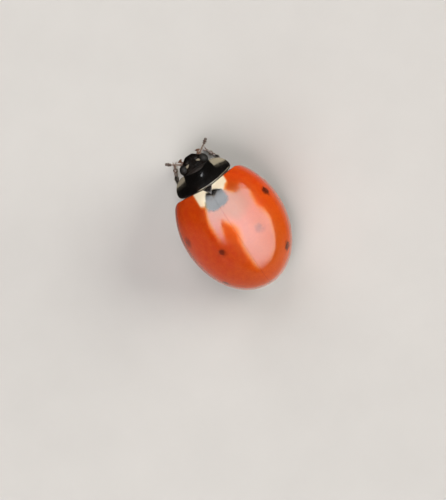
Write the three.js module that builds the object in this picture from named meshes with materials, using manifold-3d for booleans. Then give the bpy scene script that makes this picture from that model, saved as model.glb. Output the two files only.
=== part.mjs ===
// Seven-spot ladybird (Coccinella septempunctata), life size, standing still on six feet.
// Units are millimetres and +Z is up. The head points along -Y, and the insect's left side is +X.
// Places on the body are measured from the scutellum, the small plate where both wing cases meet the pronotum.
import * as THREE from "three";
import { mergeVertices } from "three/addons/utils/BufferGeometryUtils.js";
import Module from "manifold-3d";

const wasm = await Module();
wasm.setup();

// ---- Driving dimensions ----
const RIM_HEIGHT = 1.0; // lower edge of the wing cases above the floor
const GAP = 0.03; // air left between neighbouring plates

const CASE_HALF_WIDTH = 2.67;
const CASE_HALF_LENGTH = 3.45;
const CASE_RISE = 2.75; // highest point of the back above the rim
const CASE_MIDDLE = 2.0; // widest station, behind the scutellum
const CASE_WALL = 0.5;
const FULLNESS = 2.2; // 2 is an ellipse, more is squarer across the back
const BASE_NOTCH = -0.21; // front edge of the wing cases at the seam
const SHOULDER = { x: 1.62, y: -0.42 }; // front-most point of each wing case
const SHOULDER_SIDE = { x: 2.3, y: 0.2 }; // where the rounded shoulder runs into the side

const PRONOTUM = {
  halfWidth: 1.52,
  cornerX: 0.74, // front corner beside the head
  cornerY: -1.38,
  frontY: -1.2, // front edge at the middle
  widestY: -0.66,
  rearY: -0.25, // rear edge at the middle
  rearDrop: 0.17, // how much further forward the rear edge is at its outer corner
  rearCornerX: 1.2,
  top: 2.15, // crown above the rim
  crownY: 0.4,
  acrossFall: 0.4, // fall per square millimetre sideways
  sideFall: 0.05, // and with the fourth power of the distance sideways
  alongFall: 0.36, // fall per square millimetre forwards
  thickness: 0.45,
};

const BELLY = { depth: 0.3, halfWidth: 2.1, halfLength: 2.88, rise: 2.18 };
const WAIST = { front: -0.3, rear: 1.35 }; // cuts between prothorax, thorax and abdomen
const SCUTELLUM = { halfWidth: 0.27, front: -0.22, rear: 0.16, thickness: 0.5 };

const HEAD = { at: [0, -1.48, 0.46], size: [0.74, 0.58, 0.54] };
const EYE = { at: [0.6, -1.66, 0.5], size: [0.25, 0.27, 0.32] };
const FACE = { at: [0, -1.92, 0.24], size: [0.46, 0.26, 0.3] };
const PROTHORAX = { at: [0, -0.72, 0.42], size: [1.24, 0.72, 0.62] };

const FEELER = [
  [0.5, -1.9, 0.22],
  [0.88, -2.16, 0.24],
  [1.2, -2.36, 0.12],
];
const STEM_RADII = [0.24, 0.23, 0.24];
const CLUB_RADII = [0.2, 0.25, 0.24];
const PALP = [
  [0.3, -1.86, -0.02],
  [0.46, -2.04, -0.26],
];
const PALP_RADII = [0.2, 0.22, 0.24];

// Hip, knee, ankle and toe of each left leg. Height is above the floor, x is outward, y is from the scutellum.
const LEGS = {
  front: { hip: [0.4, -0.84, 0.76], knee: [1.2, -0.98, 0.96], ankle: [1.12, -1.5, 0.3], toe: [0.88, -2.02, 0.16] },
  middle: { hip: [0.74, 0.36, 0.68], knee: [1.78, 0.12, 0.66], ankle: [2.14, 0.86, 0.27], toe: [2.26, 1.5, 0.16] },
  hind: { hip: [0.76, 1.16, 0.68], knee: [1.66, 2.04, 0.64], ankle: [1.96, 2.94, 0.27], toe: [1.88, 3.6, 0.16] },
};
const STRIDE = 0.1; // each foot of one tripod stands this much further forward, the other's this much back
const COXA_SIZE = [0.3, 0.3, 0.24];
const FEMUR_RADII = [0.2, 0.26, 0.24];
const TIBIA_RADII = [0.22, 0.24, 0.25];
const TARSUS_RADII = [0.21, 0.25, 0.22];

const LIMB_SIDES = 8;
const CAP_RINGS = 2;
const CASE_SIDES = 32;
const TRUNK_SIDES = 24;
const FAR = 8; // larger than the insect, for the cutting blocks

// ---- Colours ----
const finish = (color, roughness) => new THREE.MeshStandardMaterial({ color, roughness, metalness: 0 });
const RED_SHELL = finish(0xd0380c, 0.25);
const BLACK_SHELL = finish(0x0b0a0a, 0.3);
const BLACK_BODY = finish(0x14110f, 0.5);
const EYE_BLACK = finish(0x070707, 0.2);
const FEELER_BROWN = finish(0x5a3418, 0.5);

// ---- Solids ----
// A closed geometry as a solid, with its faces turned outwards.
function solid(geometry) {
  const bare = geometry.index ? geometry.toNonIndexed() : geometry.clone();
  bare.deleteAttribute("normal");
  bare.deleteAttribute("uv");
  const merged = mergeVertices(bare, 1e-5);
  const corners = merged.index.array;
  const kept = [];
  for (let i = 0; i < corners.length; i += 3) {
    const [a, b, c] = [corners[i], corners[i + 1], corners[i + 2]];
    if (a !== b && b !== c && c !== a) kept.push(a, b, c);
  }
  const vertProperties = merged.attributes.position.array;
  const make = (tris) => new wasm.Manifold(new wasm.Mesh({ numProp: 3, vertProperties, triVerts: new Uint32Array(tris) }));
  const made = make(kept);
  return made.volume() > 0 ? made : make(kept.reverse());
}

function geometryOf(made) {
  const mesh = made.getMesh();
  return new THREE.BufferGeometry()
    .setAttribute("position", new THREE.BufferAttribute(mesh.vertProperties, 3))
    .setIndex(new THREE.BufferAttribute(mesh.triVerts, 1));
}

// A body with an elliptical plan, rounded up by rise and down by depth from its rim.
function domedBody({ halfWidth, halfLength, rise, depth, middle, rim, sides }) {
  const ball = new THREE.SphereGeometry(1, sides, sides * 0.625);
  const place = ball.attributes.position;
  for (let i = 0; i < place.count; i++) {
    const [x, y, z] = [place.getX(i), place.getY(i), place.getZ(i)];
    const height = Math.sqrt(Math.max(0, 1 - Math.min(1, Math.hypot(x, y)) ** FULLNESS));
    place.setXYZ(i, x * halfWidth, middle + y * halfLength, rim + (z > 0 ? rise : -depth) * height);
  }
  return solid(ball);
}

function ellipsoid([x, y, z], [width, length, height], extra = 0, sides = 12) {
  const ball = new THREE.SphereGeometry(1, sides, sides / 2);
  return solid(ball.scale(width + extra, length + extra, height + extra).translate(x, y, z));
}

// A round limb from one joint to the next: a ball at both ends, and its own radius half way.
function limb(from, to, [start, middle, end], extra = 0) {
  const [a, b] = [new THREE.Vector3(...from), new THREE.Vector3(...to)];
  const length = a.distanceTo(b);
  const profile = [];
  for (let i = 0; i <= CAP_RINGS; i++) {
    const turn = (Math.PI / 2) * (i / CAP_RINGS - 1);
    profile.push(new THREE.Vector2((start + extra) * Math.cos(turn), (start + extra) * Math.sin(turn)));
  }
  profile.push(new THREE.Vector2(middle + extra, length / 2));
  for (let i = 0; i <= CAP_RINGS; i++) {
    const turn = (Math.PI / 2) * (i / CAP_RINGS);
    profile.push(new THREE.Vector2((end + extra) * Math.cos(turn), length + (end + extra) * Math.sin(turn)));
  }
  profile[0].x = 0;
  profile.at(-1).x = 0;
  const turned = new THREE.LatheGeometry(profile, LIMB_SIDES);
  const lean = new THREE.Quaternion().setFromUnitVectors(new THREE.Vector3(0, 1, 0), b.clone().sub(a).normalize());
  return solid(turned.applyQuaternion(lean).translate(...from));
}

// A block between two corners.
function block([x0, y0, z0], [x1, y1, z1]) {
  const box = new THREE.BoxGeometry(x1 - x0, y1 - y0, z1 - z0);
  return solid(box.translate((x0 + x1) / 2, (y0 + y1) / 2, (z0 + z1) / 2));
}

const ahead = (y) => block([-FAR, -FAR, -FAR], [FAR, y, FAR]);
const behind = (y) => block([-FAR, y, -FAR], [FAR, FAR, FAR]);
const below = (z) => block([-FAR, -FAR, -FAR], [FAR, FAR, z]);

// ---- Wing cases ----
const caseSize = (inset) => ({
  halfWidth: CASE_HALF_WIDTH - inset,
  halfLength: CASE_HALF_LENGTH - inset,
  rise: CASE_RISE - inset,
  depth: CASE_RISE - inset,
  middle: CASE_MIDDLE,
  rim: RIM_HEIGHT,
  sides: CASE_SIDES,
});

// Plan of the left wing case with a straight front edge and a rounded shoulder, cut generously at the side and rear.
function casePlan() {
  const plan = new THREE.Shape();
  plan.moveTo(GAP / 2, BASE_NOTCH);
  plan.lineTo(SHOULDER.x - 0.3, SHOULDER.y + 0.03);
  plan.quadraticCurveTo(SHOULDER.x + 0.3, SHOULDER.y - 0.05, SHOULDER_SIDE.x, SHOULDER_SIDE.y);
  plan.lineTo(FAR, FAR / 2);
  plan.lineTo(FAR, FAR);
  plan.lineTo(GAP / 2, FAR);
  return solid(new THREE.ExtrudeGeometry(plan, { depth: FAR, bevelEnabled: false, curveSegments: 8 }));
}

// Height of the back above the floor on the middle line.
const backHeight = (y) =>
  RIM_HEIGHT + CASE_RISE * Math.sqrt(1 - (Math.abs(CASE_MIDDLE - y) / CASE_HALF_LENGTH) ** FULLNESS);

// A triangular plate that leans with the back and lies level with it.
function scutellumSolid(extra = 0) {
  const { halfWidth, front, rear, thickness } = SCUTELLUM;
  const length = rear - front;
  const slope = Math.atan((backHeight(rear) - backHeight(front)) / length);
  const plan = new THREE.Shape();
  plan.moveTo(-halfWidth - extra, -extra);
  plan.lineTo(halfWidth + extra, -extra);
  plan.lineTo(0, length / Math.cos(slope) + 2 * extra);
  const plate = new THREE.ExtrudeGeometry(plan, { depth: thickness + 2 * extra, bevelEnabled: false });
  return solid(plate.translate(0, 0, -thickness - extra).rotateX(slope).translate(0, front, backHeight(front)));
}

function wingCase() {
  const outer = domedBody(caseSize(0)).intersect(casePlan());
  const hollow = domedBody(caseSize(CASE_WALL));
  return outer.subtract(below(RIM_HEIGHT)).subtract(hollow).subtract(scutellumSolid(GAP));
}

// ---- Pronotum ----
// Front and rear edges of the pronotum in plan, at a distance x from the middle.
function pronotumFront(x) {
  const { halfWidth, cornerX, cornerY, frontY, widestY } = PRONOTUM;
  if (x < cornerX) return frontY + (cornerY - frontY) * (x / cornerX) ** 2;
  const across = (x - cornerX) / (halfWidth - cornerX);
  return widestY + (cornerY - widestY) * Math.sqrt(1 - Math.min(1, across) ** 2);
}

function pronotumRear(x) {
  const { halfWidth, rearCornerX, rearY, rearDrop, widestY } = PRONOTUM;
  const edge = rearY - rearDrop * Math.min(1, x / rearCornerX);
  if (x < rearCornerX) return edge;
  const across = (x - rearCornerX) / (halfWidth - rearCornerX);
  return widestY + (edge - widestY) * Math.sqrt(1 - Math.min(1, across) ** 2);
}

function pronotumTop(x, y) {
  const { top, crownY, acrossFall, sideFall, alongFall } = PRONOTUM;
  return RIM_HEIGHT + top - acrossFall * x ** 2 - sideFall * x ** 4 - alongFall * (y - crownY) ** 2;
}

// A plate that follows the pronotum's crown, from top above it to bottom below it.
function pronotumPlate(above, thickness) {
  const stations = 20;
  const rows = 6;
  const points = [];
  const corner = [];
  for (const lift of [above, above - thickness]) {
    const layer = [];
    for (let i = 0; i <= stations; i++) {
      const x = PRONOTUM.halfWidth * Math.sin((Math.PI / 2) * ((2 * i) / stations - 1));
      const column = [];
      for (let j = 0; j <= rows; j++) {
        const front = pronotumFront(Math.abs(x));
        const y = front + ((pronotumRear(Math.abs(x)) - front) * j) / rows;
        column.push(points.push(new THREE.Vector3(x, y, pronotumTop(x, y) + lift)) - 1);
      }
      layer.push(column);
    }
    corner.push(layer);
  }
  const faces = [];
  const quad = (a, b, c, d) => faces.push(a, b, c, a, c, d);
  const [upper, lower] = corner;
  for (let i = 0; i < stations; i++) {
    for (let j = 0; j < rows; j++) {
      quad(upper[i][j], upper[i + 1][j], upper[i + 1][j + 1], upper[i][j + 1]);
      quad(lower[i][j], lower[i][j + 1], lower[i + 1][j + 1], lower[i + 1][j]);
    }
    quad(lower[i][0], lower[i + 1][0], upper[i + 1][0], upper[i][0]);
    quad(upper[i][rows], upper[i + 1][rows], lower[i + 1][rows], lower[i][rows]);
  }
  for (const [i, flip] of [[0, true], [stations, false]]) {
    for (let j = 0; j < rows; j++) {
      const ring = [lower[i][j], lower[i][j + 1], upper[i][j + 1], upper[i][j]];
      quad(...(flip ? ring.reverse() : ring));
    }
  }
  const geometry = new THREE.BufferGeometry().setFromPoints(points).setIndex(faces);
  return solid(geometry);
}

// ---- Legs ----
// One leg as four solids, each cut clear of the one before it and flat where it stands.
function legSolids({ hip, knee, ankle, toe }) {
  const coxa = (extra) => ellipsoid(hip, COXA_SIZE, extra);
  const femur = (extra) => limb(hip, knee, FEMUR_RADII, extra);
  const tibia = (extra) => limb(knee, ankle, TIBIA_RADII, extra);
  const tarsus = limb(ankle, toe, TARSUS_RADII).subtract(below(0));
  return {
    parts: {
      coxa: coxa(0),
      femur: femur(0).subtract(coxa(GAP)),
      tibia: tibia(0).subtract(femur(GAP)),
      tarsus: tarsus.subtract(tibia(GAP)),
    },
    clearance: coxa(GAP).add(femur(GAP)).add(tibia(GAP)),
  };
}

const mirrored = (made) => {
  const flipped = geometryOf(made).scale(-1, 1, 1);
  return solid(flipped);
};

// Moves a leg's knee, ankle and toe along y for its step.
function stepped(leg, shift) {
  const move = ([x, y, z], share) => [x, y + shift * share, z];
  return { hip: leg.hip, knee: move(leg.knee, 0.5), ankle: move(leg.ankle, 1), toe: move(leg.toe, 1) };
}

// ---- Assembly ----
const beetle = new THREE.Group();

function add(name, made, material) {
  const mesh = new THREE.Mesh(geometryOf(made), material);
  mesh.name = name;
  beetle.add(mesh);
}

const raised = ([x, y, z]) => [x, y, z + RIM_HEIGHT];

const legs = [];
for (const [side, sign] of [["left", 1], ["right", -1]]) {
  Object.entries(LEGS).forEach(([place, leg], index) => {
    const forward = (index % 2 === 0) === (sign > 0) ? -STRIDE : STRIDE;
    const { parts, clearance } = legSolids(stepped(leg, forward));
    const turned = (made) => (sign > 0 ? made : mirrored(made));
    legs.push({ name: `${place}_${side}`, parts, turned, clearance: turned(clearance) });
  });
}

const trunk = domedBody({
  halfWidth: BELLY.halfWidth,
  halfLength: BELLY.halfLength,
  rise: BELLY.rise,
  depth: BELLY.depth,
  middle: CASE_MIDDLE,
  rim: RIM_HEIGHT,
  sides: TRUNK_SIDES,
});
const cleared = (made) => legs.reduce((left, leg) => left.subtract(leg.clearance), made);

const pronotum = pronotumPlate(0, PRONOTUM.thickness);
const pronotumClearance = pronotumPlate(1, PRONOTUM.thickness + 1 + GAP);
const head = (extra) => ellipsoid(raised(HEAD.at), HEAD.size, extra, 16);
const face = (extra) => ellipsoid(raised(FACE.at), FACE.size, extra);
const eye = (sign, extra) => ellipsoid(raised([sign * EYE.at[0], EYE.at[1], EYE.at[2]]), EYE.size, extra);

add("pronotum", pronotum, BLACK_SHELL);
add("scutellum", scutellumSolid().subtract(pronotumClearance), BLACK_SHELL);
add("elytron_left", wingCase(), RED_SHELL);
add("elytron_right", mirrored(wingCase()), RED_SHELL);
add("abdomen", cleared(trunk.subtract(ahead(WAIST.rear + GAP / 2))), BLACK_BODY);
add(
  "thorax",
  cleared(trunk.subtract(behind(WAIST.rear - GAP / 2)).subtract(ahead(WAIST.front + GAP / 2)))
    .subtract(scutellumSolid(GAP))
    .subtract(pronotumClearance),
  BLACK_BODY,
);
add(
  "prothorax",
  cleared(ellipsoid(raised(PROTHORAX.at), PROTHORAX.size, 0, 16))
    .subtract(behind(WAIST.front - GAP / 2))
    .subtract(pronotumClearance)
    .subtract(head(GAP)),
  BLACK_BODY,
);
add("head", head(0).subtract(pronotumClearance).subtract(eye(1, GAP)).subtract(eye(-1, GAP)), BLACK_SHELL);
add("face", face(0).subtract(head(GAP)), BLACK_SHELL);

for (const [side, sign] of [["left", 1], ["right", -1]]) {
  const across = ([x, y, z]) => raised([sign * x, y, z]);
  const [root, bend, tip] = FEELER.map(across);
  const stem = (extra) => limb(root, bend, STEM_RADII, extra);
  const palp = limb(...PALP.map(across), PALP_RADII);
  const skull = (made) => made.subtract(head(GAP)).subtract(face(GAP)).subtract(eye(sign, GAP));
  add(`eye_${side}`, eye(sign, 0).subtract(pronotumClearance), EYE_BLACK);
  add(`antenna_stem_${side}`, skull(stem(0)), FEELER_BROWN);
  add(`antenna_club_${side}`, skull(limb(bend, tip, CLUB_RADII)).subtract(stem(GAP)), FEELER_BROWN);
  add(`palp_${side}`, skull(palp).subtract(stem(GAP)), BLACK_BODY);
}

for (const { name, parts, turned } of legs) {
  for (const [part, made] of Object.entries(parts)) add(`leg_${name}_${part}`, turned(made), BLACK_BODY);
}

// The origin is on the floor, below the middle of the whole insect.
beetle.position.y = -new THREE.Box3().setFromObject(beetle).getCenter(new THREE.Vector3()).y;

export default beetle;
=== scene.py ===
"""The looks of a seven-spot ladybird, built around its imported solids.

The modelling functions work in millimetres in the insect's own frame: x to its left, y backwards from the
scutellum (the small plate between the bases of the wing cases), and z up from the floor. Form.piece writes
the meshes in metres in the frame of the solids.
"""

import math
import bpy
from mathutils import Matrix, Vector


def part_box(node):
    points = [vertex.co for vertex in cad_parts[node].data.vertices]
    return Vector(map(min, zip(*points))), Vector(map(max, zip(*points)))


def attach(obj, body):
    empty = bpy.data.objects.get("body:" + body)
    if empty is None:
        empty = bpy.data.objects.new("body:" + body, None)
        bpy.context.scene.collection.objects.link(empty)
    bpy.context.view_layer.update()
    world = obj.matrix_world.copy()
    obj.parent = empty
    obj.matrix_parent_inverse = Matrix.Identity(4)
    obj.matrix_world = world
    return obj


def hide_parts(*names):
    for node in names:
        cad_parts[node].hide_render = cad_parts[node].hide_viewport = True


bl_info = {
    "name": "Seven-spot ladybird",
    "version": (1, 0, 0),
    "blender": (4, 5, 0),
    "location": "3D View > Sidebar > Ladybird",
    "description": "Builds a life-size seven-spot ladybird piece by piece",
    "category": "Add Mesh",
}

from functools import cache

import bmesh
import bpy
import numpy as np
from bpy.props import FloatProperty, FloatVectorProperty, IntProperty, PointerProperty
from mathutils import Matrix, Vector

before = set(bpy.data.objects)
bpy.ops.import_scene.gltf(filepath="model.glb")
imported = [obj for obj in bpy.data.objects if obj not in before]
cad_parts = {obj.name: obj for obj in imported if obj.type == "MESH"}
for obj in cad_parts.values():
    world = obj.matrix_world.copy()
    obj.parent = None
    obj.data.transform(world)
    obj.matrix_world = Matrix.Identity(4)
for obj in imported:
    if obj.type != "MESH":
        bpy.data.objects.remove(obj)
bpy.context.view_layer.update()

# ---- Frame of the insect ----
MM = 0.001


def box_mm(node):
    """Lowest and highest corner of a solid in millimetres."""
    low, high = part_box(node)
    return np.array(low) / MM, np.array(high) / MM


CASE_LOW, CASE_HIGH = box_mm("elytron_left")
RIM = CASE_LOW[2]  # lower edge of the wing cases above the floor
CASE_HALF_WIDTH = CASE_HIGH[0]
CASE_RISE = CASE_HIGH[2] - RIM
SCUTELLUM_FRONT = -0.22
ZERO_Y = box_mm("scutellum")[0][1] - SCUTELLUM_FRONT  # the insect's y of 0, in the frame of the solids
CASE_HALF_LENGTH = 3.45  # from the widest station of the wing cases to their tips
CASE_MIDDLE = CASE_HIGH[1] - ZERO_Y - CASE_HALF_LENGTH  # the widest station
FULLNESS = 2.2  # 2 is an ellipse, more is squarer across the back
BASE_NOTCH = -0.21  # front edge of the wing cases at the seam
SHOULDER = (1.62, -0.42)  # front-most point of each wing case, x and y
SHOULDER_ROUND = 1.22  # how fast the front edge turns back beyond the shoulder
CORNER_ROUND = 0.32  # rounding of each wing case's lower front corner

PRONOTUM_HALF_WIDTH = box_mm("pronotum")[1][0]
PRONOTUM_CORNER = (0.74, -1.38)  # left front corner, x and y
PRONOTUM_FRONT = -1.2  # y of the front edge at the middle
PRONOTUM_WIDEST = -0.66  # y where it is widest
# Rear edge of the pronotum: y at the middle, how much further forward its corner is, and the corner's x.
PRONOTUM_REAR = (-0.25, 0.17, 1.2)

# Hip, knee, ankle and toe of each left leg. Height is above the floor, x is outward, y is from the scutellum.
LEGS = {
    "front": ((0.4, -0.84, 0.76), (1.2, -0.98, 0.96), (1.12, -1.5, 0.3), (0.88, -2.02, 0.16)),
    "middle": ((0.74, 0.36, 0.68), (1.78, 0.12, 0.66), (2.14, 0.86, 0.27), (2.26, 1.5, 0.16)),
    "hind": ((0.76, 1.16, 0.68), (1.66, 2.04, 0.64), (1.96, 2.94, 0.27), (1.88, 3.6, 0.16)),
}
STRIDE = 0.1  # how far a foot is ahead of or behind its resting place
SIDES = {"left": 1, "right": -1}


# ---- Curves and meshes ----
def smooth_curve(places, values, at):
    """Values at places in between, on a smooth line through the given ones. Values can be points."""
    places, values, at = np.array(places, float), np.array(values, float), np.asarray(at, float)
    slope = np.gradient(values, places, axis=0)
    i = np.clip(np.searchsorted(places, at, side="right") - 1, 0, len(places) - 2)
    width = places[i + 1] - places[i]
    t = (at - places[i]) / width
    if values.ndim > 1:
        width, t = width[:, None], t[:, None]
    return (
        (2 * t**3 - 3 * t**2 + 1) * values[i]
        + (t**3 - 2 * t**2 + t) * width * slope[i]
        + (3 * t**2 - 2 * t**3) * values[i + 1]
        + (t**3 - t**2) * width * slope[i + 1]
    )


def eased(count):
    """Places from 0 to 1 that crowd towards both ends."""
    return (1 - np.cos(np.linspace(0, math.pi, count))) / 2


def unit(vectors):
    """Vectors of length 1 along the last axis."""
    return vectors / np.maximum(np.linalg.norm(vectors, axis=-1, keepdims=True), 1e-12)


def smooth_step(low, high, values):
    """0 below low, 1 above high, and smooth between."""
    t = np.clip((np.asarray(values, float) - low) / (high - low), 0, 1)
    return t * t * (3 - 2 * t)


def groove(distance, width=0.018):
    """A soft furrow or ridge, 1 at its line and about 0 beyond twice its width."""
    return np.exp(-((distance / width) ** 2))


class Form:
    """Gathers points and faces into one mesh. Sign -1 makes a right-hand part from left-hand points."""

    def __init__(self, sign=1):
        self.sign = sign
        self.points = []
        self.faces = []
        self.count = 0

    def add(self, points, faces):
        """Adds points and the faces between them."""
        self.points.append(np.array(points, float).reshape(-1, 3))
        self.faces.extend([i + self.count for i in face] for face in faces)
        self.count += len(self.points[-1])

    def loft(self, rings, caps=True):
        """Joins closed rings of equally many points one after the other, and closes both ends."""
        rings = np.array(rings, float)
        count, around = rings.shape[:2]
        faces = []
        for i in range(count - 1):
            for j in range(around):
                k = (j + 1) % around
                faces.append((i * around + j, i * around + k, (i + 1) * around + k, (i + 1) * around + j))
        if caps:
            faces.append(tuple(range(around)))
            faces.append(tuple((count - 1) * around + j for j in range(around)))
        self.add(rings, faces)

    def piece(self, name, material):
        """Writes the gathered mesh as an object in the frame of the solids."""
        points = np.concatenate(self.points) * (self.sign, 1, 1) + (0, ZERO_Y, 0)
        mesh = bpy.data.meshes.new(name)
        mesh.from_pydata((points * MM).tolist(), [], self.faces)
        mesh.materials.append(material)
        mesh.polygons.foreach_set("use_smooth", [True] * len(mesh.polygons))
        work = bmesh.new()
        work.from_mesh(mesh)
        bmesh.ops.recalc_face_normals(work, faces=work.faces)
        work.to_mesh(mesh)
        work.free()
        made = bpy.data.objects.new(name, mesh)
        bpy.context.scene.collection.objects.link(made)
        return made


def settle(piece, slot, *nodes):
    """Attaches a piece to the root body and hides the solids that it stands for. The slot is not used."""
    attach(piece, "root")
    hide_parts(*nodes)


def limb_rings(path, widths, heights=None, up=(0, 0, 1), around=20, along=28):
    """Rings of a round-ended limb on a smooth path.

    Widths and heights are (place, radius) keys, with place 0 to 1. A limb without heights is round.
    """
    at = eased(along)
    keys = np.linspace(0, 1, len(path))
    line = smooth_curve(keys, path, at)
    ahead = unit(np.gradient(line, axis=0))
    side = unit(np.cross(ahead, np.array(up, float)))
    over = np.cross(side, ahead)
    wide = smooth_curve(*zip(*widths), at)
    tall = smooth_curve(*zip(*(heights or widths)), at)
    run = np.concatenate([[0], np.cumsum(np.linalg.norm(np.diff(line, axis=0), axis=1))])
    first, last = min(wide[0], tall[0]), min(wide[-1], tall[-1])
    near = np.minimum(run / first, (run[-1] - run) / last)
    cap = np.sqrt(np.clip(1 - (1 - np.clip(near, 0.02, 1)) ** 2, 0, 1))
    turn = np.linspace(0, 2 * math.pi, around, endpoint=False)
    return (
        line[:, None]
        + (wide * cap)[:, None, None] * np.cos(turn)[None, :, None] * side[:, None]
        + (tall * cap)[:, None, None] * np.sin(turn)[None, :, None] * over[:, None]
    )


def ball_rings(centre, radii, warp=None, around=40, along=28):
    """Rings of a ball with its poles ahead and behind. Warp may reshape the unit ball's points."""
    angle = np.linspace(0.02, math.pi - 0.02, along)
    turn = np.linspace(0, 2 * math.pi, around, endpoint=False)
    points = np.stack(
        [
            np.sin(angle)[:, None] * np.cos(turn),
            -np.cos(angle)[:, None] * np.ones(around),
            np.sin(angle)[:, None] * np.sin(turn),
        ],
        axis=-1,
    )
    if warp:
        points = warp(points)
    return np.array(centre) + points * np.array(radii)


def station_rings(stations, power=2.2, around=56, along=44):
    """Rings across y from stations of (y, half width, and bottom and top above the rim).

    The section is an ellipse at power 2, and squarer above.
    """
    y, half, bottom, top = np.array(stations, float).T
    at = y[0] + (y[-1] - y[0]) * eased(along)
    order = 1 if y[-1] > y[0] else -1
    shape = smooth_curve(y[::order], np.array([half, bottom, top]).T[::order], at)
    turn = np.linspace(0, 2 * math.pi, around, endpoint=False)
    across = np.sign(np.cos(turn)) * np.abs(np.cos(turn)) ** (2 / power)
    upward = np.sign(np.sin(turn)) * np.abs(np.sin(turn)) ** (2 / power)
    middle, reach = (shape[:, 1] + shape[:, 2]) / 2, (shape[:, 2] - shape[:, 1]) / 2
    x = shape[:, :1] * across
    z = RIM + middle[:, None] + reach[:, None] * upward
    return np.stack([x, at[:, None] * np.ones(around), z], axis=-1)


class Coat:
    """Gathers thin hairs into one mesh, with a small patch of the bake map for each."""

    PATCH = 0.003  # width of a hair's patch
    TILES = 8  # the map has this many rows and columns of surfaces
    CORNERS = 7  # points of a hair: a ring at its root, one half way and the tip
    SUNK = 0.006  # depth of a root below its surface

    def __init__(self, seed):
        self.random = np.random.default_rng(seed)
        self.roots, self.tips, self.places = [], [], []
        self.tile = 0

    def grow(self, rings, count, length, lean, along=(0.05, 0.95), facing=None):
        """Adds hairs on a surface of rings.

        Lean tilts them along the surface, and facing keeps those of the side that looks that way.
        """
        rings = np.array(rings, float)
        steps, around = rings.shape[:2]
        i = (along[0] + (along[1] - along[0]) * self.random.random(count)) * (steps - 2)
        j = self.random.random(count) * around
        low_i, low_j = i.astype(int), j.astype(int)
        corner = rings[low_i, low_j % around]
        ahead = rings[low_i + 1, low_j % around] - corner
        beside = rings[low_i, (low_j + 1) % around] - corner
        root = corner + ahead * (i - low_i)[:, None] + beside * (j - low_j)[:, None]
        normal = unit(np.cross(beside, ahead))
        out = np.sign(np.sum(normal * (root - rings[low_i].mean(axis=1)), axis=-1))
        normal = normal * np.where(out == 0, 1, out)[:, None]
        stray = 0.25 * (self.random.random((count, 3)) - 0.5)
        lengths = length * (0.6 + 0.4 * self.random.random(count))
        tip = root + unit(normal + lean * unit(ahead) + stray) * lengths[:, None]
        tip[:, 2] = np.maximum(tip[:, 2], 0.004)  # no hair goes into the floor
        keep = np.ones(count, bool) if facing is None else normal @ np.array(facing) > 0.35
        row, column = divmod(self.tile, self.TILES)
        place = np.column_stack([column + 0.1 + 0.8 * i / steps, row + 0.1 + 0.8 * j / around]) / self.TILES
        self.tile += 1
        self.roots.append(root[keep])
        self.tips.append(tip[keep])
        self.places.append(place[keep])

    def piece(self, name, thickness=0.011):
        """Writes the hairs as three-sided spikes."""
        roots, tips, places = (np.concatenate(part) for part in (self.roots, self.tips, self.places))
        line = unit(tips - roots)
        side = unit(np.cross(line, (0.31, 0.52, 0.8)))
        over = np.cross(line, side)
        turn = np.radians((90, 210, 330))
        ring = np.cos(turn)[None, :, None] * side[:, None] + np.sin(turn)[None, :, None] * over[:, None]
        base = roots[:, None] - self.SUNK * line[:, None] + thickness / 2 * ring
        middle = (roots * 0.5 + tips * 0.5)[:, None] + thickness / 3 * ring
        points = np.concatenate([base, middle, tips[:, None]], axis=1)
        pattern = [(0, 1, 4, 3), (1, 2, 5, 4), (2, 0, 3, 5), (3, 4, 6), (4, 5, 6), (5, 3, 6), (0, 2, 1)]
        faces = []
        for i in range(len(roots)):
            faces.extend([corner + self.CORNERS * i for corner in face] for face in pattern)
        form = Form()
        form.add(points, faces)
        made = form.piece(name, hair_finish())
        layer = made.data.uv_layers.new(name="OFBake")
        owner = np.empty(len(made.data.loops), np.int64)
        made.data.loops.foreach_get("vertex_index", owner)
        hair, corner = np.divmod(owner, self.CORNERS)
        angle = corner * (2 * math.pi / self.CORNERS)
        patch = places[hair] + self.PATCH / 2 * np.column_stack([np.cos(angle), np.sin(angle)])
        layer.data.foreach_set("uv", patch.astype(np.float32).ravel())
        return made


def mirrored(rings, sign):
    """Rings on the insect's other side when sign is -1."""
    return np.array(rings) * (sign, 1, 1)


# ---- The back's shape ----
def back_height(x, y):
    """Height of the wing cases above the floor."""
    reach = np.hypot(np.asarray(x) / CASE_HALF_WIDTH, (np.asarray(y) - CASE_MIDDLE) / CASE_HALF_LENGTH)
    return RIM + CASE_RISE * np.sqrt(np.clip(1 - reach**FULLNESS, 0, 1))


def dome_share(cosine):
    """Height of the back as a share of its rise, where a plain ball would have the height cosine."""
    return np.sqrt(np.clip(1 - np.clip(1 - cosine**2, 0, 1) ** (FULLNESS / 2), 0, 1))


def outward(height, x, y):
    """Outward direction of a surface that is given by its height above the floor."""
    away = 1e-4  # step of the slope's measure
    slope_x = (height(x + away, y) - height(x - away, y)) / (2 * away)
    slope_y = (height(x, y + away) - height(x, y - away)) / (2 * away)
    return unit(np.stack([-slope_x, -slope_y, np.ones_like(slope_x)], axis=-1))


def case_front(x):
    """Front edge of the wing cases, at a distance x from the seam."""
    slant = (SHOULDER[1] - BASE_NOTCH) * np.minimum(x / SHOULDER[0], 1)
    return BASE_NOTCH + slant + SHOULDER_ROUND * np.maximum(x - SHOULDER[0], 0) ** 2


# ---- Sizes and colours ----
def length_property(name, description, default):
    """A length property that is given in millimetres and kept in metres."""
    settings = {"min": 0, "unit": "LENGTH", "precision": 6}
    return FloatProperty(name=name, description=description, default=default * MM, **settings)


def color_property(name, description, default):
    """A linear colour property."""
    settings = {"subtype": "COLOR", "size": 3, "min": 0, "max": 1}
    return FloatVectorProperty(name=name, description=description, default=default, **settings)


def light_property(name, description, default):
    """A brightness property."""
    return FloatProperty(name=name, description=f"Brightness of the {description}", default=default, min=0)


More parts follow.
